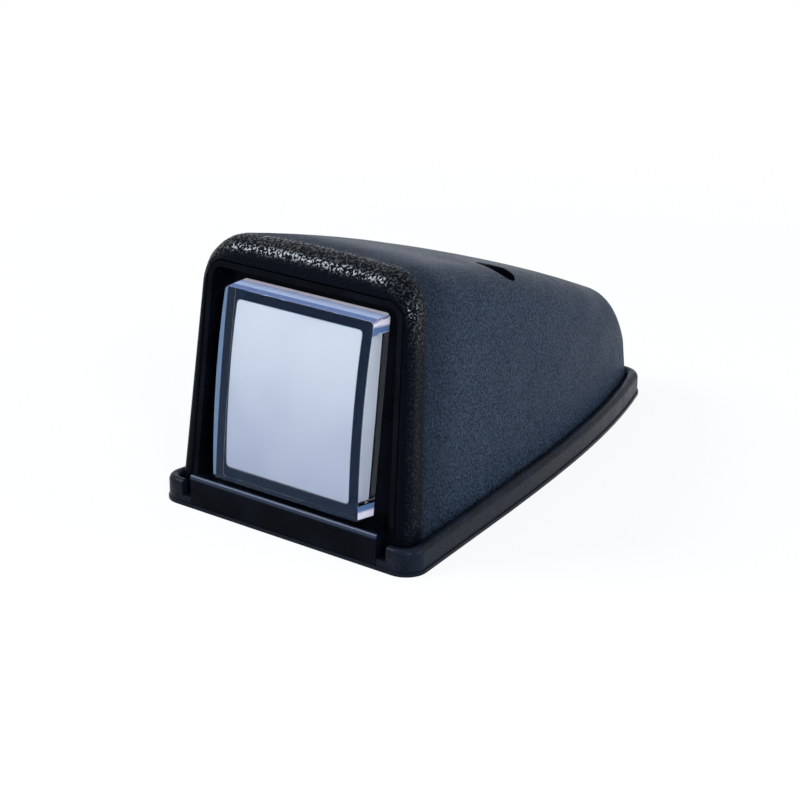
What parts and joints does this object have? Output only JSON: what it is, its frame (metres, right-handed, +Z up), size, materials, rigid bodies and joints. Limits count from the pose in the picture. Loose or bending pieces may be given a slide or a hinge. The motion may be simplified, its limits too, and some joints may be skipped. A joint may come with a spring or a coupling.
{
  "type": "roof marker light",
  "caption": "Truck cab roof marker light: textured wedge-shaped hood over a sealed lamp unit with a clear square lens, on a rubber base gasket.",
  "frame": {"origin": "on the mounting surface, under the middle of the base gasket", "axes": "+Z up from the roof, +Y towards the low tail, so that the lens faces -Y, +X to the right as seen from the front"},
  "size_m": [0.087, 0.158, 0.0761],
  "materials": {
    "hood_plastic": "moulded black plastic with a fine leather grain",
    "gasket_rubber": "smooth satin black rubber",
    "unit_plastic": "smooth black plastic",
    "clear_plastic": "clear polished plastic",
    "opal_plastic": "pale opal plastic",
    "white_plastic": "white plastic",
    "board_laminate": "green coated circuit board",
    "diode_resin": "clear resin over a pale yellow base",
    "component_black": "moulded black resin",
    "can_aluminium": "bright drawn can",
    "seal_rubber": "soft black rubber",
    "screw_steel": "zinc-plated steel"
  },
  "bodies": {
    "root": {"hood": "hood_plastic", "base_gasket": "gasket_rubber", "lamp_body": "unit_plastic", "lens": "clear_plastic", "lens_seal": "seal_rubber", "diffuser": "opal_plastic", "reflector": "white_plastic", "diode_board": "board_laminate", "diode_1": "diode_resin", "diode_2": "diode_resin", "diode_3": "diode_resin", "diode_4": "diode_resin", "board_screws": "screw_steel", "resistor_1": "component_black", "resistor_2": "component_black", "polarity_diode": "component_black", "current_regulator": "component_black", "capacitor": "can_aluminium", "terminal_block": "white_plastic", "cover_seal": "seal_rubber", "back_cover": "unit_plastic", "cover_screws": "screw_steel", "lead_grommet": "seal_rubber", "body_screws": "screw_steel"}
  },
  "joints": []
}
